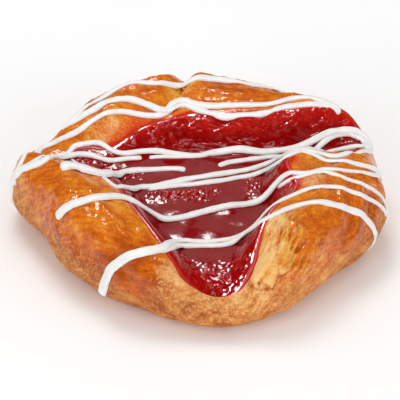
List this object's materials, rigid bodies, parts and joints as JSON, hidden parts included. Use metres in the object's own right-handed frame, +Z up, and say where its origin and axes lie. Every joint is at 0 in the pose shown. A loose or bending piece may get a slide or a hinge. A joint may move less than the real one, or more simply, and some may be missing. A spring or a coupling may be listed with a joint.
{
  "type": "guava danish",
  "caption": "Puffed danish pastry with folded flaps round a star-shaped pool of guava filling, drizzled with thick strands of white icing.",
  "frame": {"origin": "middle of the flat base, on the surface the danish rests on", "axes": "+Z up, -Y the front, where the longest arm of the filling points, +X to the right seen from the front, along the danish's longest side"},
  "size_m": [0.1153, 0.104, 0.0316],
  "materials": {
    "baked_dough": "egg-washed golden-brown crust with a soft gloss",
    "guava": "wet, glossy dark-red fruit filling"
  },
  "bodies": {
    "root": {"pastry": "baked_dough", "guava_filling": "guava"}
  },
  "joints": []
}
